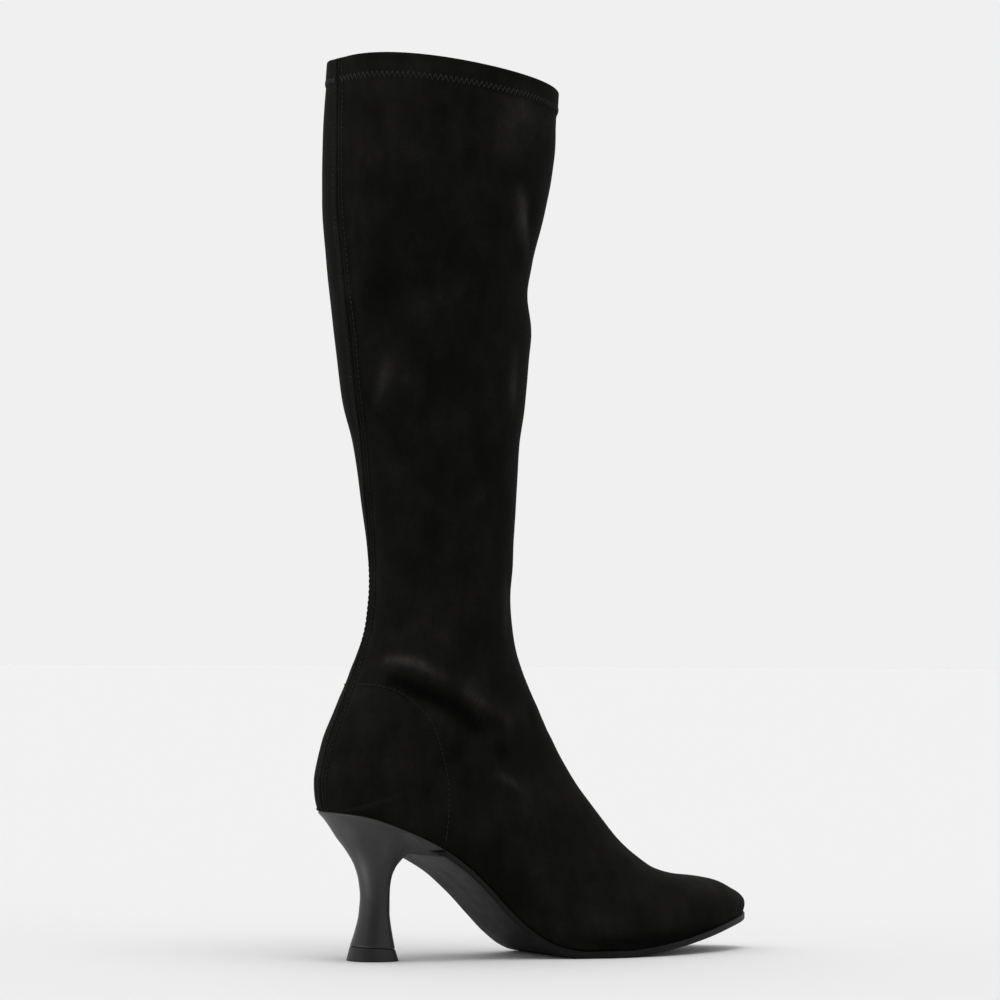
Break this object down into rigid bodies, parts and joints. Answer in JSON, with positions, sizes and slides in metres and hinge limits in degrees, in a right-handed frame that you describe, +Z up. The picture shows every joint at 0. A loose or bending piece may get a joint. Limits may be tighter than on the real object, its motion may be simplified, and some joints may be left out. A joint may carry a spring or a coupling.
{
  "type": "knee-high heeled boot",
  "caption": "Right knee-high stretch boot with a pointed toe, a thin sole, a turned hem at the collar, a back seam and a spool heel with a top lift.",
  "frame": {"origin": "the middle of the heel tip's flat underside, on the floor", "axes": "+X towards the toe, +Y towards the wearer's left, which is the inner side of this right boot, +Z up the shaft"},
  "size_m": [0.2472, 0.099, 0.4419],
  "materials": {
    "suede": "matt black stretch faux suede with a short nap",
    "lining": "dark padded sock lining",
    "sole": "satin black moulded sole",
    "heel": "satin black moulded plastic",
    "tip": "matt black hard rubber"
  },
  "bodies": {
    "root": {"upper": "suede", "insole": "lining", "outsole": "sole", "heel": "heel", "heel_tip": "tip"}
  },
  "joints": []
}
